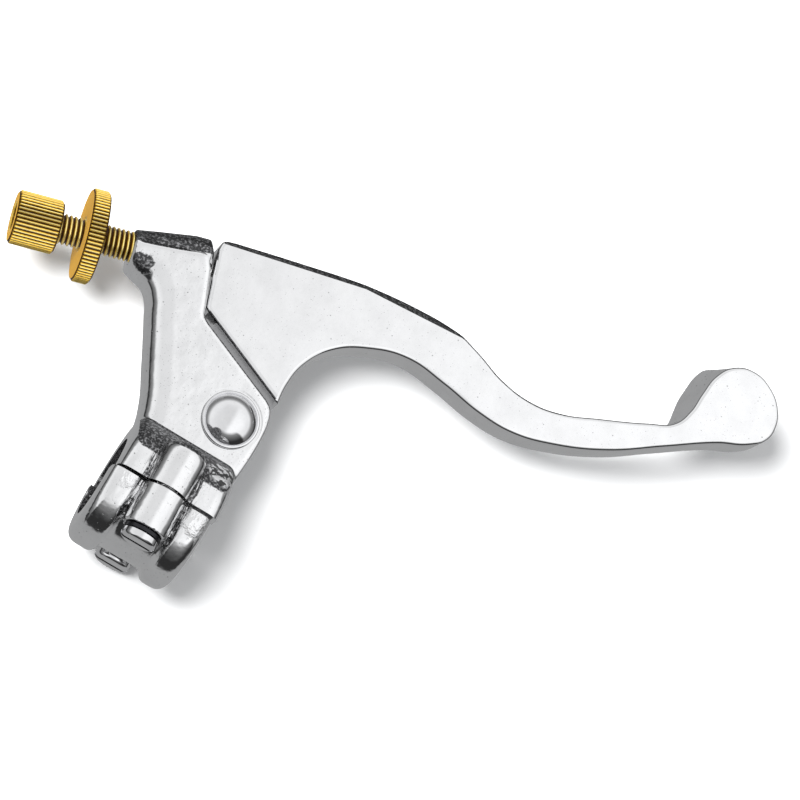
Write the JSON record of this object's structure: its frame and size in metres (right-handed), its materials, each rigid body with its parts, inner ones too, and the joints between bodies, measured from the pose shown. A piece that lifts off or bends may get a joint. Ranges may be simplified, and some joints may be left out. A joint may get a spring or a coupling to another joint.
{
  "type": "clutch lever",
  "caption": "Motorcycle clutch lever: cast perch that clamps to the handlebar, pivoting ball-end lever, and a threaded brass cable adjuster with its lock ring.",
  "frame": {"origin": "centre of the handlebar bore, midway along the clamp, on the split between perch and cap", "axes": "+X along the handlebar towards the lever's ball end, +Y from the handlebar towards the lever, +Z out of the lever's plane on the side of the pivot bolt's domed head"},
  "size_m": [0.2045, 0.136, 0.0436],
  "materials": {
    "cast_aluminium": "polished cast aluminium with small pits",
    "bright_steel": "bright plated",
    "plain_steel": "zinc plated, satin",
    "brass": "bright machined",
    "bronze": "plain bearing bronze",
    "nylon": "matte"
  },
  "bodies": {
    "perch": {"perch_body": "cast_aluminium", "clamp_cap": "cast_aluminium", "clamp_screw_upper": "bright_steel", "clamp_screw_lower": "bright_steel", "lock_washer_upper": "plain_steel", "lock_washer_lower": "plain_steel", "pivot_bolt": "bright_steel", "pivot_nut_washer": "plain_steel", "pivot_nut": "plain_steel", "pivot_nut_insert": "nylon"},
    "lever": {"lever_blade": "cast_aluminium", "pivot_bush": "bronze", "thrust_washer_upper": "plain_steel", "thrust_washer_lower": "plain_steel"},
    "adjuster": {"cable_adjuster": "brass"},
    "lock_ring": {"adjuster_lock_ring": "brass"}
  },
  "joints": [
    {"name": "lever_pivot", "type": "hinge", "parent": "perch", "child": "lever", "pos_m": [0.0064, 0.0275, 0], "axis": [0, 0, 1], "range_deg": [-30, 0]},
    {"name": "adjuster_travel", "type": "slide", "parent": "perch", "child": "adjuster", "axis": [-0.9537, -0.3007, 0], "range_m": [-0.004, 0.005]},
    {"name": "lock_ring_travel", "type": "slide", "parent": "adjuster", "child": "lock_ring", "axis": [-0.9537, -0.3007, 0], "range_m": [-0.004, 0.0055]}
  ]
}
